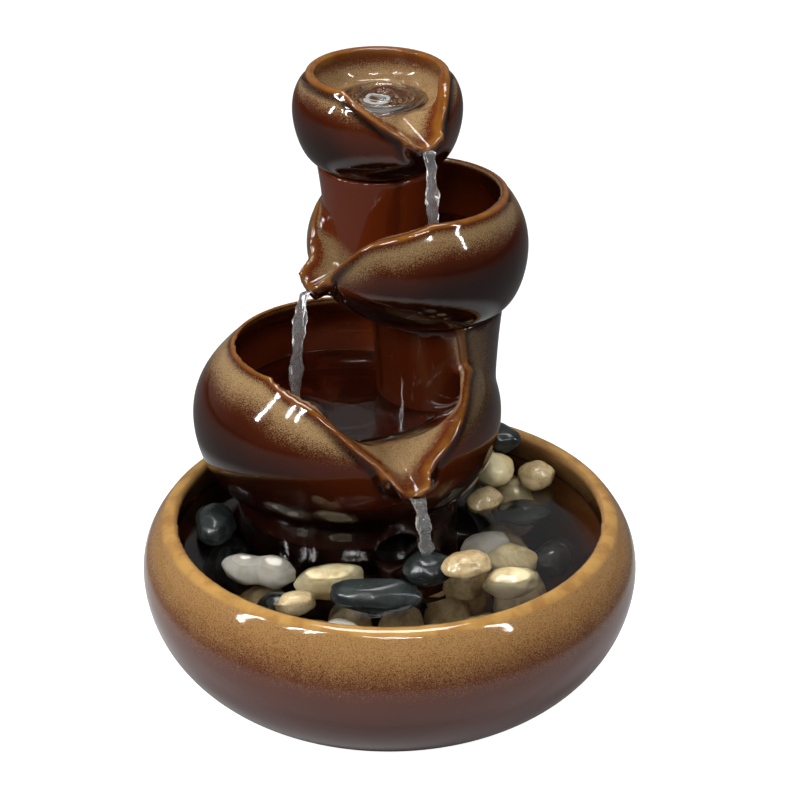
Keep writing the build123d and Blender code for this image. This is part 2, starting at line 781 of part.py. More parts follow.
# Those laid by hand, placed as shares of half the plan's width and depth
placed = [
    ("left_bed_pebble", -0.649, 0.029, 30, 20, 29, 90),
    ("back_bed_pebble", 0.496, 0.496, 34, 22, 30, -45),
    ("black_pebble_1", -0.706, 0.038, 26, 18, 16, 80),
    ("white_pebble_1", -0.525, -0.172, 35, 17, 14, -20),
    ("black_pebble_2", -0.429, -0.363, 22, 16, 14, 10),
    ("cream_pebble_1", -0.239, -0.267, 30, 17, 14, 12),
    ("tan_pebble_1", -0.363, -0.449, 18, 13, 11, 30),
    ("white_pebble_2", -0.191, -0.534, 17, 12, 10, -10),
    ("black_pebble_3", 0.019, -0.305, 29, 17, 13, 15),
    ("black_pebble_4", -0.057, -0.439, 38, 18, 14, -5),
    ("black_pebble_5", 0.153, -0.382, 22, 18, 14, 20),
    ("tan_pebble_2", 0.296, -0.229, 19, 22, 17, 0),
    ("tan_pebble_3", 0.296, -0.449, 21, 14, 11, 15),
    ("cream_pebble_2", 0.496, -0.076, 22, 17, 14, -15),
    ("cream_pebble_3", 0.477, -0.286, 23, 17, 13, 20),
    ("white_pebble_3", 0.401, 0.115, 23, 16, 13, 25),
    ("black_pebble_6", 0.554, 0.296, 26, 16, 12, 5),
    ("dark_pebble_1", 0.678, 0.076, 26, 18, 14, 60),
    ("tan_pebble_4", 0.391, 0.286, 18, 14, 12, 30),
    ("cream_pebble_4", 0.439, 0.439, 18, 17, 17, 0),
    ("tan_pebble_5", 0.620, 0.449, 17, 16, 14, 40),
    ("black_pebble_7", 0.458, 0.582, 24, 16, 14, -40),
]
laid = []
for name, share_x, share_y, length, width, height, turn in placed:
    laid.append((name, share_x * half_plan_width, share_y * half_plan_depth, length, width, height, turn))


def wall_height(x, y):
    """Height of the inside of the basin under a point."""
    radius = math.hypot(x, y / basin_aspect)
    lower = basin_inner_levels[0]
    for upper in basin_inner_levels[1:]:
        if radius <= upper[3]:
            share = max(0, (radius - lower[3]) / (upper[3] - lower[3]))
            return lower[0] + (upper[0] - lower[0]) * share
        lower = upper
    return basin_height


def half_thickness(pebble, x, y):
    """Half the height of a pebble over a point, or nothing beside it."""
    name, centre_x, centre_y, length, width, height, turn = pebble
    angle = math.radians(turn)
    along = ((x - centre_x) * math.cos(angle) + (y - centre_y) * math.sin(angle)) / (length / 2)
    across = ((y - centre_y) * math.cos(angle) - (x - centre_x) * math.sin(angle)) / (width / 2)
    distance = along ** 2 + across ** 2
    if distance > 1:
        return None
    return height / 2 * min(math.sin(math.radians(pebble_cap_angle)), math.sqrt(1 - distance))


def resting_height(pebble, below):
    """Height of a pebble's middle when it is let down on the basin and on those below."""
    name, centre_x, centre_y, length, width, height, turn = pebble
    reach = max(length, width) / 2
    rest = 0
    for column in range(-pebble_samples, pebble_samples + 1):
        for row in range(-pebble_samples, pebble_samples + 1):
            x = centre_x + reach * column / pebble_samples
            y = centre_y + reach * row / pebble_samples
            own = half_thickness(pebble, x, y)
            if own is None:
                continue
            rest = max(rest, wall_height(x, y) + own)
            for other, other_height in below:
                top = half_thickness(other, x, y)
                if top is not None:
                    rest = max(rest, other_height + top + own)
    return rest + pebble_gap


settled = []
for pebble in bed + laid:
    settled.append((pebble, resting_height(pebble, settled)))

for (name, centre_x, centre_y, length, width, height, turn), middle in settled:
    angle = math.radians(turn)
    with BuildPart() as stone:
        for lean in pebble_turns:
            share = math.sin(math.radians(lean))
            section = Plane(
                (centre_x, centre_y, middle + share * height / 2),
                x_dir=(math.cos(angle), math.sin(angle), 0),
            )
            spread = math.cos(math.radians(lean))
            with BuildSketch(section):
                Ellipse(length / 2 * spread, width / 2 * spread)
        loft()
    stone.part.label = name
    export_step(stone.part, f"parts/{name}.step")
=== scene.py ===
import bmesh
import bpy
import math
import numpy as np
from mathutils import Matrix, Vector, kdtree, noise


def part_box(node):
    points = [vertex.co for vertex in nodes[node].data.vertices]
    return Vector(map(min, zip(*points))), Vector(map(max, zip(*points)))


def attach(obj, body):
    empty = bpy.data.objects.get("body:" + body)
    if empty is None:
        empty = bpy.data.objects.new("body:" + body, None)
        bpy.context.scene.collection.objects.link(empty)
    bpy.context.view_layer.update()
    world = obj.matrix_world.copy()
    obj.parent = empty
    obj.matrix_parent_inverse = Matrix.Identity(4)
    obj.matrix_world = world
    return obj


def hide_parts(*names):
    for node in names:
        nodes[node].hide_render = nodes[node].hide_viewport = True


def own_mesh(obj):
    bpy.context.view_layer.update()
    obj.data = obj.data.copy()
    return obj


MM = 0.001
NOISE_SEED = 11
PLAN_STRETCH = 1.031  # the basin's width over its depth
RIM_RAISE, CREASE_SINK = 0.35, 0.5  # how far the rims stand out and the creases lie in, in millimetres
RIDGE_STEPS = 30
NO_LINE = 99.0  # a way to a line that isn't there
PEBBLE_VOXEL, PEBBLE_ROUNDS = 0.0009, 110
FACET_COUNT, FACET_AT, FACET_CUT = 6, 0.84, 0.7
SHEET_RINGS = 60
STREAM_ROWS, STREAM_SIDES = 160, 32
FLOOR_NEAR, FLOOR_FAR = (0.55, 0.55, 0.55, 1), (0.15, 0.15, 0.15, 1)
LAMP_AIM = (0, 0, 0.12)
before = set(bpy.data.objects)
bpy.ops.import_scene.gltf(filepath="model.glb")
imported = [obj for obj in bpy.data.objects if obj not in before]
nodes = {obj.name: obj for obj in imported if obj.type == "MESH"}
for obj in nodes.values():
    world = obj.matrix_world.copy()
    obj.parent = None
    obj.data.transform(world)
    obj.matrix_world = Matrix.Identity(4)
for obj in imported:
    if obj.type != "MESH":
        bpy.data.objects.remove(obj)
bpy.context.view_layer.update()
scene = bpy.context.scene
noise.seed_set(NOISE_SEED)


# Node helpers
def group_of(name, inputs, outputs):
    """A shader node group with named sockets: (name, kind, value)."""
    group = bpy.data.node_groups.new(name, "ShaderNodeTree")
    for label, kind, value in inputs:
        socket = group.interface.new_socket(label, in_out="INPUT", socket_type=kind)
        socket.default_value = value
    for label, kind in outputs:
        group.interface.new_socket(label, in_out="OUTPUT", socket_type=kind)
    return group, group.nodes.new("NodeGroupInput"), group.nodes.new("NodeGroupOutput")


def texture(tree, kind, **values):
    """A texture or other node with plain socket values."""
    node = tree.nodes.new(kind)
    for label, value in values.items():
        node.inputs[label.replace("_", " ")].default_value = value
    return node


def math_node(tree, operation, first, second):
    """The result of a sum on two values; each may be a socket or a number."""
    node = tree.nodes.new("ShaderNodeMath")
    node.operation = operation
    for slot, value in zip(node.inputs, (first, second)):
        if isinstance(value, (int, float)):
            slot.default_value = value
        else:
            tree.links.new(value, slot)
    return node.outputs[0]


def ramp_between(tree, value, low, high):
    """A soft step from 0 at low to 1 at high; low and high may be sockets."""
    node = tree.nodes.new("ShaderNodeMapRange")
    node.interpolation_type = "SMOOTHSTEP"
    tree.links.new(value, node.inputs["Value"])
    for label, end in (("From Min", low), ("From Max", high)):
        if isinstance(end, (int, float)):
            node.inputs[label].default_value = end
        else:
            tree.links.new(end, node.inputs[label])
    return node.outputs["Result"]


def mixed(tree, share, first, second):
    """A colour between first and second; each may be a socket or a colour."""
    node = tree.nodes.new("ShaderNodeMix")
    node.data_type = "RGBA"
    if isinstance(share, (int, float)):
        node.inputs[0].default_value = share
    else:
        tree.links.new(share, node.inputs[0])
    for slot, value in ((node.inputs[6], first), (node.inputs[7], second)):
        if isinstance(value, tuple):
            slot.default_value = value
        else:
            tree.links.new(value, slot)
    return node.outputs[2]


def rgb(red, green, blue):
    """A colour written as it looks on screen, 0 to 255."""
    def linear(value):
        value /= 255
        return value / 12.92 if value <= 0.04045 else ((value + 0.055) / 1.055) ** 2.4
    return (linear(red), linear(green), linear(blue), 1.0)


# Glaze: amber on the rims, a speckled tan band below them, then brown that darkens downwards, with a near-black line
# of painted shade in the groove under the rims
COLOUR, FLOAT = "NodeSocketColor", "NodeSocketFloat"
glaze_group, g_in, g_out = group_of(
    "banded_glaze",
    [("Distance", FLOAT, 10.0), ("Low", FLOAT, 0.0), ("Bare", FLOAT, 0.0), ("Crease Shade", FLOAT, 0.0),
     ("Inner", FLOAT, 0.0), ("Rim Width", FLOAT, 0.9), ("Band Peak", FLOAT, 5.0),
     ("Band End", FLOAT, 20.0), ("Deep End", FLOAT, 40.0), ("Rim", COLOUR, rgb(126, 79, 26)),
     ("Tan", COLOUR, rgb(150, 124, 86)), ("Body", COLOUR, rgb(72, 27, 8)), ("Deep", COLOUR, rgb(28, 8, 4)),
     ("Inside", COLOUR, rgb(88, 33, 10))],
    [("Color", COLOUR), ("Height", FLOAT)])
place = glaze_group.nodes.new("ShaderNodeTexCoord")
broad = texture(glaze_group, "ShaderNodeTexNoise", Scale=38.0, Detail=3.0, Roughness=0.55)
grains = texture(glaze_group, "ShaderNodeTexNoise", Scale=2300.0, Detail=2.0, Roughness=0.6)
runs = texture(glaze_group, "ShaderNodeTexNoise", Scale=1.0, Detail=3.0, Roughness=0.55)
stretch = glaze_group.nodes.new("ShaderNodeMapping")
stretch.inputs["Scale"].default_value = (110.0, 110.0, 30.0)
link = glaze_group.links.new
for field in (broad.inputs["Vector"], grains.inputs["Vector"], stretch.inputs["Vector"]):
    link(place.outputs["Object"], field)
link(stretch.outputs["Vector"], runs.inputs["Vector"])


def swing(socket, size):
    """A noise value turned into a swing about zero."""
    return math_node(glaze_group, "MULTIPLY", math_node(glaze_group, "SUBTRACT", socket, 0.5), size)


near = math_node(glaze_group, "ADD", g_in.outputs["Distance"], swing(broad.outputs["Fac"], 0.7))
far = math_node(glaze_group, "ADD", g_in.outputs["Distance"],
                math_node(glaze_group, "ADD", swing(broad.outputs["Fac"], 8.0), swing(runs.outputs["Fac"], 5.0)))
rim_end = math_node(glaze_group, "ADD", g_in.outputs["Rim Width"], 1.4)
rising = ramp_between(glaze_group, near, g_in.outputs["Rim Width"], g_in.outputs["Band Peak"])
fading = ramp_between(glaze_group, far, g_in.outputs["Band Peak"], g_in.outputs["Band End"])
band = math_node(glaze_group, "MULTIPLY", rising, math_node(glaze_group, "SUBTRACT", 1.0, fading))
band = math_node(glaze_group, "MULTIPLY", band, math_node(glaze_group, "SUBTRACT", 1.0, g_in.outputs["Bare"]))
dots = ramp_between(
    glaze_group, math_node(glaze_group, "ADD", band, swing(grains.outputs["Fac"], 2.4)), 0.22, 1.25)
deep_share = math_node(
    glaze_group, "MAXIMUM", g_in.outputs["Low"],
    ramp_between(glaze_group, far, g_in.outputs["Band Peak"], g_in.outputs["Deep End"]))
colour = mixed(glaze_group, deep_share, g_in.outputs["Body"], g_in.outputs["Deep"])
# The inside colour: painted light on the basin's inner wall, and on the lower bowl's column less of it, as painted
# shade
colour = mixed(glaze_group, g_in.outputs["Inner"], colour, g_in.outputs["Inside"])
dots = math_node(glaze_group, "MULTIPLY", dots, ramp_between(glaze_group, band, 0.0, 0.25))
dots = math_node(glaze_group, "MULTIPLY", dots, math_node(
    glaze_group, "SUBTRACT", 1.0, math_node(glaze_group, "MULTIPLY", g_in.outputs["Low"], 0.75)))
colour = mixed(glaze_group, dots, colour, g_in.outputs["Tan"])
rim_colour = mixed(glaze_group, ramp_between(glaze_group, runs.outputs["Fac"], 0.35, 0.7),
                   g_in.outputs["Rim"], g_in.outputs["Body"])
rim_colour = mixed(glaze_group, 0.45, g_in.outputs["Rim"], rim_colour)
colour = mixed(glaze_group, ramp_between(glaze_group, near, g_in.outputs["Rim Width"], rim_end), rim_colour, colour)
# Painted shade: the groove under the rims is darkened to near black, for the shadow under the rim's overhang
colour = mixed(glaze_group, g_in.outputs["Crease Shade"], colour, rgb(14, 9, 8))
link(colour, g_out.inputs["Color"])
link(math_node(glaze_group, "ADD", broad.outputs["Fac"], swing(grains.outputs["Fac"], 0.04)), g_out.inputs["Height"])


def principled(name):
    """A new material, its tree and its shader."""
    material = bpy.data.materials.new(name)
    material.use_nodes = True
    return material, material.node_tree, material.node_tree.nodes["Principled BSDF"]


def glaze(name, **values):
    """Glazed ceramic whose bands follow the mesh's own rim distance."""
    material, tree, shader = principled(name)
    bands = tree.nodes.new("ShaderNodeGroup")
    bands.node_tree = glaze_group
    for label, value in values.items():
        bands.inputs[label.replace("_", " ")].default_value = value
    for label, socket in (("rim_distance", "Distance"), ("low", "Low"), ("bare", "Bare"), ("crease", "Crease Shade"),
                          ("inner", "Inner")):
        attribute = tree.nodes.new("ShaderNodeAttribute")
        attribute.attribute_name = label
        tree.links.new(attribute.outputs["Fac"], bands.inputs[socket])
    bump = texture(tree, "ShaderNodeBump", Strength=0.25, Distance=0.0006)
    tree.links.new(bands.outputs["Color"], shader.inputs["Base Color"])
    tree.links.new(bands.outputs["Height"], bump.inputs["Height"])
    tree.links.new(bump.outputs["Normal"], shader.inputs["Normal"])
    shader.inputs["Roughness"].default_value = 0.07
    shader.inputs["IOR"].default_value = 1.52
    return material


# Stones
stone_group, s_in, s_out = group_of(
    "stone",
    [("Base", COLOUR, rgb(120, 110, 90)), ("Vein", COLOUR, rgb(90, 80, 60)), ("Cloud Scale", FLOAT, 90.0),
     ("Vein Share", FLOAT, 0.5), ("Fleck Share", FLOAT, 0.3)],
    [("Color", COLOUR), ("Height", FLOAT)])
s_place = stone_group.nodes.new("ShaderNodeTexCoord")
clouds = texture(stone_group, "ShaderNodeTexNoise", Detail=5.0, Roughness=0.6, Distortion=0.8)
flecks = texture(stone_group, "ShaderNodeTexNoise", Scale=900.0, Detail=2.0)
stone_group.links.new(s_place.outputs["Object"], clouds.inputs["Vector"])
stone_group.links.new(s_place.outputs["Object"], flecks.inputs["Vector"])
stone_group.links.new(s_in.outputs["Cloud Scale"], clouds.inputs["Scale"])
cloud_mask = math_node(stone_group, "MULTIPLY", ramp_between(stone_group, clouds.outputs["Fac"], 0.42, 0.68),
                       s_in.outputs["Vein Share"])
fleck_mask = math_node(stone_group, "MULTIPLY", ramp_between(stone_group, flecks.outputs["Fac"], 0.55, 0.72),
                       s_in.outputs["Fleck Share"])
stone_colour = mixed(stone_group, cloud_mask, s_in.outputs["Base"], s_in.outputs["Vein"])
stone_colour = mixed(stone_group, fleck_mask, stone_colour, s_in.outputs["Vein"])
stone_group.links.new(stone_colour, s_out.inputs["Color"])
stone_group.links.new(clouds.outputs["Fac"], s_out.inputs["Height"])


def stone(name, base, vein, cloud_scale=90.0, veins=0.5, specks=0.3, rough=0.18):
    """A polished stone, clouded and flecked in a second colour."""
    material, tree, shader = principled(name)
    look = tree.nodes.new("ShaderNodeGroup")
    look.node_tree = stone_group
    for label, value in (("Base", base), ("Vein", vein), ("Cloud Scale", cloud_scale), ("Vein Share", veins),
                         ("Fleck Share", specks)):
        look.inputs[label].default_value = value
    bump = texture(tree, "ShaderNodeBump", Strength=0.2, Distance=0.0005)
    tree.links.new(look.outputs["Color"], shader.inputs["Base Color"])
    tree.links.new(look.outputs["Height"], bump.inputs["Height"])
    tree.links.new(bump.outputs["Normal"], shader.inputs["Normal"])
    shader.inputs["Roughness"].default_value = rough
    return material


stones = {
    "black": stone("black_stone", rgb(30, 35, 35), rgb(62, 68, 66), 60.0, 0.5, 0.3, 0.26),
    "dark": stone("dark_stone", rgb(38, 38, 38), rgb(62, 60, 56), 60.0, 0.5, 0.25, 0.2),
    "white": stone("white_stone", rgb(246, 242, 230), rgb(206, 192, 164), 110.0, 0.5, 0.1, 0.16),
    "cream": stone("cream_stone", rgb(234, 220, 176), rgb(190, 160, 104), 90.0, 0.7, 0.15, 0.16),
    "tan": stone("tan_stone", rgb(196, 174, 132), rgb(128, 100, 62), 120.0, 0.6, 0.5, 0.2),
}


# Water
def water(name, tint, clear=1.0):
    """Clear water; below 1, clear leaves it a little milky."""
    material, _, shader = principled(name)
    shader.inputs["Base Color"].default_value = tint
    shader.inputs["Roughness"].default_value = 0.0
    shader.inputs["IOR"].default_value = 1.33
    shader.inputs["Transmission Weight"].default_value = clear
    return material


pool_water = water("pool_water", (0.93, 0.93, 0.92, 1))
stream_water = water("stream_water", (1, 1, 1, 1), 0.93)


# Mesh helpers
def shown(name, mesh, material):
    """A smooth-shaded piece in the scene."""
    piece = bpy.data.objects.new(name, mesh)
    scene.collection.objects.link(piece)
    mesh.materials.clear()
    mesh.materials.append(material)
    for face in mesh.polygons:
        face.use_smooth = True
    return piece


def cad_copy(node):
    """A merged copy of a CAD node's mesh, in the row frame."""
    work = bmesh.new()
    work.from_mesh(nodes[node].data)
    work.transform(nodes[node].matrix_world)
    bmesh.ops.remove_doubles(work, verts=work.verts, dist=0.00001)
    return work


def sharp_points(work, test, least=0.6, step=0.0008):
    """Points along the mesh's sharp edges that pass the test."""
    points = []
    for edge in work.edges:
        if len(edge.link_faces) == 2 and edge.calc_face_angle(0) > least:
            first, last = edge.verts[0].co, edge.verts[1].co
            count = max(1, int((last - first).length / step))
            for k in range(count + 1):
                point = first.lerp(last, k / count)
                if test(point):
                    points.append(point.copy())
    return points


def even_mesh(name, work, voxel, rounds):
    """The mesh rebuilt in even faces, which rounds its edges, then smoothed."""
    mesh = bpy.data.meshes.new(name + "_raw")
    work.to_mesh(mesh)
    work.free()
    holder = bpy.data.objects.new(name + "_raw", mesh)
    scene.collection.objects.link(holder)
    remesh = holder.modifiers.new("even", "REMESH")
    remesh.mode = "VOXEL"
    remesh.voxel_size = voxel
    graph = bpy.context.evaluated_depsgraph_get()
    even = bpy.data.meshes.new_from_object(holder.evaluated_get(graph))
    bpy.data.objects.remove(holder)
    bpy.data.meshes.remove(mesh)
    even.name = name
    work = bmesh.new()
    work.from_mesh(even)
    for _ in range(rounds):
        bmesh.ops.smooth_vert(work, verts=work.verts, factor=0.5, use_axis_x=True, use_axis_y=True, use_axis_z=True)
    work.to_mesh(even)
    work.free()
    return even


def paint(mesh, label, values):
    """One value for each vertex, kept on the mesh for its material to read."""
    attribute = mesh.attributes.new(label, "FLOAT", "POINT")
    attribute.data.foreach_set("value", values)


def tree_of(points):
    """A search tree for the nearest of the points."""
    tree = kdtree.KDTree(len(points))
    for index, point in enumerate(points):
        tree.insert(point, index)
    tree.balance()
    return tree


# Ceramic pieces
def soft_step(value, low, high):
    """A soft step from 0 at low to 1 at high."""
    share = min(1.0, max(0.0, (value - low) / (high - low)))
    return share * share * (3 - 2 * share)


def spread(mesh, values, rounds):
    """The values averaged with their neighbours' along the mesh's edges."""
    pairs = np.empty(len(mesh.edges) * 2, dtype=np.int64)
    mesh.edges.foreach_get("vertices", pairs)
    first, second = pairs[0::2], pairs[1::2]
    size = len(values)
    count = np.maximum(np.bincount(pairs, minlength=size), 1)
    values = np.array(values)
    for _ in range(rounds):
        total = np.bincount(first, values[second], size) + np.bincount(second, values[first], size)
        values = 0.5 * values + 0.5 * total / count
    return values


def vessel(node, voxel, depth, rim_test, line_test, ridge, dark, inside, fade, also, material):
    """A vessel made from its solid, with the way to its rim kept on the mesh in millimetres.

    line_test finds edges that are amber but have no tan band, and ridge is a line of points that carries the
    rim on. inside is (spout tip, reach of the tan, share): the bowl is tan only that near the tip or by the rim.
    also gives how light more of the bowl is, or 0; on the lower bowl's column it is lowered as painted shade.
    Outside, the tan band fades from the height fade[1] down to fade[0]."""
    work = cad_copy(node)
    rim_points = sharp_points(work, rim_test)
    line_points = sharp_points(work, line_test)
    mesh = even_mesh(node + "_look", work, voxel, 5)
    surface = tree_of([v.co for v in mesh.vertices])
    for first, last in zip(ridge, ridge[1:]):
        for k in range(RIDGE_STEPS):
            rim_points.append(surface.find(Vector(first).lerp(Vector(last), k / RIDGE_STEPS) * MM)[0])
    rim = tree_of(rim_points)
    lines = tree_of(line_points)
    rim_ways = spread(mesh, [rim.find(v.co)[2] / MM for v in mesh.vertices], 3)
    line_ways = [lines.find(v.co)[2] / MM if line_points else NO_LINE for v in mesh.vertices]
    tip, reach, share = inside
    ways, bares, creases, inners = [], [], [], []
    for v, rim_way, line_way in zip(mesh.vertices, rim_ways, line_ways):
        way = rim_way
        spot = v.co / MM
        from_tip = (Vector(tip) - spot).length
        more = also(spot)
        if depth(spot) > 2.0 or more or (from_tip < 16 and v.normal.z > 0.15):
            far_off = soft_step(from_tip, reach, reach + 14)
            way = way * share + far_off * 26 * soft_step(way, 1.5, 6.0)
            bare = far_off * soft_step(rim_way, 2.0, 6.0)
            creases.append(0.0)
            # Inside colour, less of it lower down; the also test lowers it further on the lower bowl's column as
            # painted shade
            inners.append((more or 1.0) * (0.3 + 0.7 * soft_step(spot.z, fade[0] - 4, fade[1] - 6)))
        else:
            inners.append(0.0)
            faded = 1 - soft_step(spot.z, *fade)
            bare = max(faded * soft_step(rim_way, 0.8, 1.8), 1 - soft_step(from_tip, 12.0, 20.0))
            # Painted shade in the groove below the outer rim, stronger lower down and gone near the spout tip; the
            # same share also sinks the surface there
            gap = soft_step(rim_way, 1.6, 2.8) * (1 - soft_step(rim_way, 3.6, 6.2))
            strength = 0.95 - 0.75 * soft_step(spot.z, fade[0] + 8, fade[1] + 12)
            creases.append(strength * gap * soft_step(from_tip, 5.0, 14.0))
            # Outside faces that turn downwards skip the tan band and take the deep brown: painted shade on the
            # undersides. Near the spout tip the way shrinks, so the beak stays amber.
            way = way * soft_step(from_tip, 4.0, 11.0) if v.normal.z > -0.3 else way + 20
        bares.append(1.0 if line_way < 3.0 else bare)
        ways.append(min(way, line_way) if line_way < 2.0 else way)
    ways = spread(mesh, ways, 2)
    creases = spread(mesh, creases, 1)
    paint(mesh, "rim_distance", ways)
    paint(mesh, "bare", spread(mesh, bares, 1))
    paint(mesh, "crease", creases)
    paint(mesh, "inner", spread(mesh, inners, 2))
    raised = [v.co + v.normal * (MM * (RIM_RAISE * soft_step(2.2 - way, 0, 2.0) - CREASE_SINK * crease))
              for v, way, crease in zip(mesh.vertices, rim_ways, creases)]
    for v, spot in zip(mesh.vertices, raised):
        v.co = spot
    paint(mesh, "low", [dark(v.co) for v in mesh.vertices])
    piece = shown(node + "_look", mesh, material)
    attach(piece, "tower")
    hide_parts(node)


def bulb(x, y, aspect, neck, belly, mouth):
    """How deep a point lies inside a bulb, in millimetres; neck, belly and mouth are (height, radius)."""
    def depth(p):
        if p.z > mouth[0] + 1.0 or p.z < neck[0]:
            return -99.0
        if p.z > belly[0]:
            share = (p.z - belly[0]) / (mouth[0] - belly[0])
            radius = belly[1] + (mouth[1] - belly[1]) * share * share
        else:
            share = max(0.0, 1 - (p.z - neck[0]) / (belly[0] - neck[0]))
            radius = neck[1] + (belly[1] - neck[1]) * math.sqrt(1 - min(1.0, share) ** 2)
        return radius - math.hypot(p.x - x, (p.y - y) / aspect)
    return depth


def rim_of(depth, least, column):
    """A test for points on a bulb's rim that lie above a height and away from the column (x, y, radius)."""
    def test(p):
        spot = p / MM
        clear = math.hypot(spot.x - column[0], spot.y - column[1]) > column[2]
        return spot.z > least and clear and -9 < depth(spot) < 1.6
    return test


def ring_at(x, y, low, high, least, most):
    """A test for edges at a height and away from an upright axis, in millimetres."""
    return lambda p: low < p.z / MM < high and least < math.hypot(p.x / MM - x, p.y / MM - y) < most


def lower_column_shade(p):
    """How light the column in the lower bowl is, as a share of the bowl, and 0 elsewhere: painted shade under the
    middle bulb darkens the column's middle.
    """
    way = math.hypot(p.x - 20, p.y - 45)
    return 0.4 + 0.6 * soft_step(way, 26, 32) if way < 32 and p.x < 31.5 and p.z > 104 else 0.0


def lower_dark_and_shade(p):
    """How dark the lower vessel is towards its foot, and at the right of its column, where it is painted shade; the
    point is in metres.
    """
    foot = soft_step(0.098 - p.z, 0.0, 0.022)
    # Painted shade: the right of the column, below the middle bulb, is darkened
    right = 0.8 * soft_step(p.x, 0.026, 0.036) * soft_step(p.z, 0.106, 0.118)
    return max(foot, right)


def nowhere(p):
    """A test that no point passes."""
    return 0.0


def middle_column(p):
    """1 on the column in the middle bowl, and 0 elsewhere."""
    return 1.0 if math.hypot(p.x + 4.5, p.y - 48) < 27 and p.z > 188 else 0.0


lower_bulb = bulb(-18, 33, 0.909, (73, 46), (107, 66), (139, 48))
vessel("lower_vessel", 0.0014, lower_bulb, rim_of(lower_bulb, 94, (20, 45, 31)), ring_at(20, 45, 148, 154, 24, 40),
       [(33.4, 19.3, 131), (32, 18.6, 136.5), (30, 17.8, 146.6), (29.5, 17.6, 151.5)],
       lower_dark_and_shade, ((10.7, -28.6, 98), 38, 0.5), (106, 124), lower_column_shade,
       glaze("lower_glaze", Band_End=24.0, Deep_End=44.0))
middle_bulb = bulb(12, 45, 1.0, (152.4, 26), (179, 46.5), (203, 37))
vessel("middle_vessel", 0.0011, middle_bulb, rim_of(middle_bulb, 160, (-4.5, 48, 25.5)),
       ring_at(-4.5, 48, 211, 218, 18, 40), [], lambda p: soft_step(0.170 - p.z, 0.0, 0.014),
       ((-32.9, 23.1, 166), 21, 0.6), (166, 186), middle_column,
       glaze("middle_glaze", Band_End=18.0, Deep_End=30.0, Tan=rgb(126, 104, 72)))
top_bulb = bulb(-4.5, 48, 1.0, (215.4, 23), (239, 35), (254, 28.5))
vessel("top_vessel", 0.0009, top_bulb, rim_of(top_bulb, 226, (0, 0, 0)), nowhere, [],
       lambda p: soft_step(0.226 - p.z, 0.0, 0.012), ((15.65, 17, 231), 90, 0.45), (236, 256), nowhere,
       glaze("top_glaze", Band_End=15.0, Deep_End=26.0))

basin_mesh = even_mesh("basin_look", cad_copy("basin"), 0.0015, 4)
lip = max(v.co.z for v in basin_mesh.vertices)


def lip_distance(p):
    """Way down from the lip, counted faster inside the basin than outside."""
    inside = 1 - soft_step(math.hypot(p.x, p.y * PLAN_STRETCH), 0.0880, 0.0925)
    return ((lip - p.z) * (1 + 0.3 * inside) + 0.004 * inside) / MM


def wall_painted_light(v):
    """1 where the basin's wall faces inwards, fading out under the water: the share of a lighter colour that is
    painted light on the wall.
    """
    facing = -(v.normal.x * v.co.x + v.normal.y * v.co.y) / max(math.hypot(v.co.x, v.co.y), MM)
    return soft_step(facing, 0.1, 0.6) * (1 - soft_step(lip - v.co.z, 0.018, 0.04))


paint(basin_mesh, "rim_distance", [lip_distance(v.co) for v in basin_mesh.vertices])
# Painted light: the inner wall below the lip takes the lighter Inside colour, for light that the wall gets
paint(basin_mesh, "inner", [wall_painted_light(v) for v in basin_mesh.vertices])
basin = shown("basin_look", basin_mesh, glaze(
    "basin_glaze", Rim_Width=1.0, Band_Peak=1.1, Band_End=36.0, Deep_End=70.0, Rim=rgb(172, 132, 72),
    Body=rgb(92, 38, 14), Deep=rgb(58, 16, 8), Tan=rgb(158, 122, 76), Inside=rgb(134, 82, 40)))
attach(basin, "basin")
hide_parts("basin")

# Pebbles
for name in sorted(nodes):
    if "pebble" not in name:
        continue
    kind = name.split("_")[0]
    seed = sum(ord(letter) * (k + 3) for k, letter in enumerate(name))
    mesh = even_mesh(name + "_look", cad_copy(name), PEBBLE_VOXEL, PEBBLE_ROUNDS)
    middle = sum((v.co for v in mesh.vertices), Vector()) / len(mesh.vertices)
    low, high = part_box(name)
    sizes = [max(abs(v.co[k] - middle[k]) for v in mesh.vertices) for k in range(3)]
    shift = Vector((seed % 97, seed % 89, seed % 83))
    facets = [noise.noise_vector(shift + Vector((7.3 * k, 3.1 * k, 1.7 * k))).normalized()
              for k in range(FACET_COUNT)]
    for v in mesh.vertices:
        away = v.co - middle
        away = Vector([away[k] / sizes[k] for k in range(3)])
        swell = noise.noise(away * 1.1 + shift) * 0.16 + noise.noise(away * 2.6 + shift) * 0.05
        away *= 1.0 + swell
        if kind == "black":
            for facet in facets:
                over = away.dot(facet) - FACET_AT
                if over > 0:
                    away -= facet * over * FACET_CUT
        if name == "white_pebble_1":
            away.y *= 1.05 - 0.3 * math.exp(-(away.x / 0.3) ** 2)
            away.z *= 1.05 - 0.25 * math.exp(-(away.x / 0.3) ** 2)
        v.co = middle + Vector([away[k] * (high[k] - low[k]) / 2 for k in range(3)])
    if kind not in stones:
        kind = ("tan", "black", "cream", "white")[seed % 4]
    piece = shown(name + "_look", mesh, stones[kind])
    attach(piece, "basin")
    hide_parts(name)


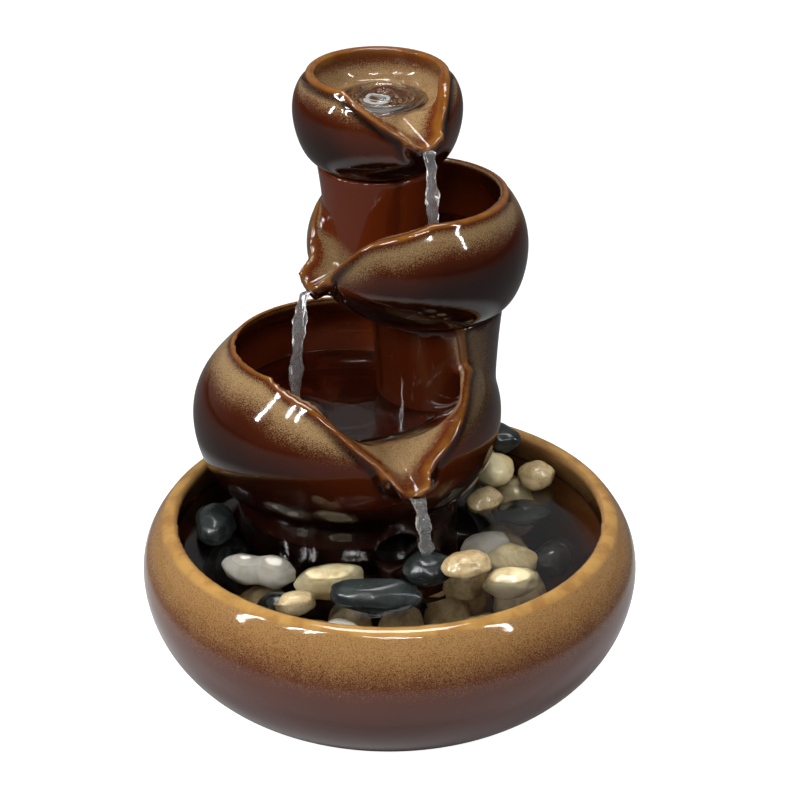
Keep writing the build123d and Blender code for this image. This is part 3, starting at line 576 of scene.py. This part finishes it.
# Water in the basin and in the bowls
def slab(name, middle, halves, top, thick, body, rings_at=(), dome=0.0, count=96):
    """An oval sheet of water, higher by dome in the middle, with rings (x, y, radius, height) in millimetres."""
    work = bmesh.new()
    spoke = work.edges.new((work.verts.new((0, 0, 0)), work.verts.new((1, 0, 0))))
    bmesh.ops.subdivide_edges(work, edges=[spoke], cuts=SHEET_RINGS - 1)
    bmesh.ops.spin(work, geom=work.verts[:] + work.edges[:], cent=(0, 0, 0), axis=(0, 0, 1),
                   angle=2 * math.pi, steps=count, use_merge=True)
    bmesh.ops.remove_doubles(work, verts=work.verts, dist=0.00001)
    lifted = bmesh.ops.extrude_face_region(work, geom=work.faces[:])["geom"]
    upper = {v for v in lifted if isinstance(v, bmesh.types.BMVert)}
    for v in work.verts:
        share = math.hypot(v.co.x, v.co.y)
        x, y = (middle[0] + halves[0] * v.co.x) * MM, (middle[1] + halves[1] * v.co.y) * MM
        wave = -thick
        if v in upper:
            wave = noise.noise(Vector((x * 55, y * 55, top * 40))) * 0.0005 + dome * MM * (1 - share * share)
            for ring_x, ring_y, ring_radius, ring_height in rings_at:
                off = math.hypot(x / MM - ring_x, y / MM - ring_y) - ring_radius
                wave += ring_height * MM * math.exp(-(off / 3.5) ** 2) * math.cos(off * 1.1)
        v.co = (x, y, top + wave)
    bmesh.ops.recalc_face_normals(work, faces=work.faces)
    mesh = bpy.data.meshes.new(name)
    work.to_mesh(mesh)
    work.free()
    piece = shown(name, mesh, pool_water)
    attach(piece, body)


slab("basin_water", (0, 0), (92, 89), 0.062, 0.0012, "basin", [(14.5, -35, 5, 0.7), (14.5, -35, 13, 0.4)], count=180)
slab("lower_water", (-20, 36), (45, 42), 0.112, 0.001, "tower", [(-40, 18, 5, 0.6), (-40, 18, 12, 0.4)])
slab("middle_water", (14, 46), (33, 33), 0.178, 0.001, "tower")
slab("top_water", (-3, 50), (19, 18), 0.2412, 0.001, "tower", [(-2, 51, 11, 0.8), (-2, 51, 2, 0.8)], 2.6)


def stream(name, start, end, wide, seed):
    """A twisting strand of falling water between two points, in millimetres."""
    first, last = Vector(start) * MM, Vector(end) * MM
    shift = Vector((seed, seed * 2, seed * 3))
    work = bmesh.new()
    bmesh.ops.create_cone(work, cap_ends=True, segments=STREAM_SIDES, radius1=1, radius2=1, depth=1)
    upright = [edge for edge in work.edges if abs(edge.verts[0].co.z - edge.verts[1].co.z) > 0.5]
    bmesh.ops.subdivide_edges(work, edges=upright, cuts=STREAM_ROWS - 1, use_grid_fill=True)
    for v in work.verts:
        share = max(0.0, 0.5 - v.co.z)
        across = first.lerp(last, math.sqrt(share))
        height = first.z + (last.z - first.z) * share
        uneven = 0.66 + 0.12 * math.sin(share * 16 + seed) + 0.2 * noise.noise(Vector((seed, share * 7, 0)))
        flat = 0.55 + 0.25 * math.sin(share * 11 + seed * 2)
        turn = math.atan2(v.co.y, v.co.x) + share * 7
        ripple = 1 + 0.4 * noise.noise(Vector((math.cos(turn) * 2.2, math.sin(turn) * 2.2, share * 13)) + shift)
        size = wide * MM * uneven * ripple
        v.co = (across.x + size * math.cos(turn), across.y + size * flat * math.sin(turn), height)
    bmesh.ops.recalc_face_normals(work, faces=work.faces)
    mesh = bpy.data.meshes.new(name)
    work.to_mesh(mesh)
    work.free()
    piece = shown(name, mesh, stream_water)
    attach(piece, "tower")
    return piece


stream("top_stream", (16.0, 15.5, 231.5), (18.5, 13.5, 178), 3.6, 1.3)
stream("middle_stream", (-34.5, 22.0, 166.5), (-40.0, 18.0, 112), 3.6, 4.1)
fall = stream("lower_stream", (11.5, -30.0, 98.5), (15.2, -39.0, 77), 3.8, 7.7)
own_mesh(fall)

# Floor, lamps, world and camera
floor_mesh = bpy.data.meshes.new("floor")
floor_work = bmesh.new()
bmesh.ops.create_circle(floor_work, cap_ends=True, radius=14.0, segments=96)
floor_work.to_mesh(floor_mesh)
floor_work.free()
floor_material, floor_tree, floor_shader = principled("floor_white")
floor_shader.inputs["Roughness"].default_value = 0.9
floor_shader.inputs["Specular IOR Level"].default_value = 0.0
floor_shader.inputs["Emission Color"].default_value = (1, 1, 1, 1)
rays = floor_tree.nodes.new("ShaderNodeLightPath")
seen = math_node(floor_tree, "MAXIMUM", rays.outputs["Is Camera Ray"], rays.outputs["Is Transmission Ray"])
floor_tree.links.new(seen, floor_shader.inputs["Emission Strength"])
floor_place = floor_tree.nodes.new("ShaderNodeTexCoord")
floor_reach = floor_tree.nodes.new("ShaderNodeVectorMath")
floor_reach.operation = "LENGTH"
floor_tree.links.new(floor_place.outputs["Object"], floor_reach.inputs[0])
floor_tree.links.new(mixed(floor_tree, ramp_between(floor_tree, floor_reach.outputs["Value"], 0.17, 0.23),
                           FLOOR_NEAR, FLOOR_FAR), floor_shader.inputs["Base Color"])
floor = shown("floor", floor_mesh, floor_material)

world = bpy.data.worlds.new("studio")
scene.world = world
world.use_nodes = True
back = world.node_tree.nodes["Background"]
back.inputs["Color"].default_value = (1, 1, 1, 1)
sky = world.node_tree
sky_place = sky.nodes.new("ShaderNodeTexCoord")
sky_parts = sky.nodes.new("ShaderNodeSeparateXYZ")
sky.links.new(sky_place.outputs["Generated"], sky_parts.inputs["Vector"])
sky.links.new(math_node(sky, "ADD", 0.05, math_node(
    sky, "MULTIPLY", ramp_between(sky, sky_parts.outputs["Y"], -0.2, 0.7), 0.16)), back.inputs["Strength"])


def lamp(name, place, size, depth, power):
    """A soft lamp in the shape of a strip or sheet, turned towards the fountain."""
    light = bpy.data.lights.new(name, "AREA")
    light.shape = "RECTANGLE"
    light.size, light.size_y = size, depth
    light.energy = power
    holder = bpy.data.objects.new(name, light)
    holder.location = place
    holder.rotation_euler = (Vector(LAMP_AIM) - Vector(place)).to_track_quat("-Z", "Y").to_euler()
    scene.collection.objects.link(holder)


lamp("left strip", (-0.62, -0.72, 1.05), 0.02, 0.45, 5)
lamp("left second strip", (-0.74, -0.62, 1.02), 0.015, 0.35, 3)
lamp("left low strip", (-0.95, -0.35, 0.75), 0.03, 0.5, 5.5)
lamp("front strip", (0.1, -0.95, 1.15), 0.4, 0.018, 3)
lamp("front high strip", (-0.05, -0.85, 1.32), 0.4, 0.018, 3)
lamp("right strip", (0.85, -0.6, 0.9), 0.03, 0.6, 5)
lamp("top", (0.0, 0.25, 1.4), 0.6, 0.4, 11)

lens = bpy.data.cameras.new("camera")
lens.sensor_width = 36.0
lens.lens = 107.75
lens.clip_start, lens.clip_end = 0.05, 60.0
camera = bpy.data.objects.new("camera", lens)
camera.location = (0, -0.8702, 0.5927)
camera.rotation_euler = (math.radians(90 - 28.10), 0, math.radians(-0.29))
scene.collection.objects.link(camera)
scene.camera = camera
scene.view_settings.view_transform = "Standard"
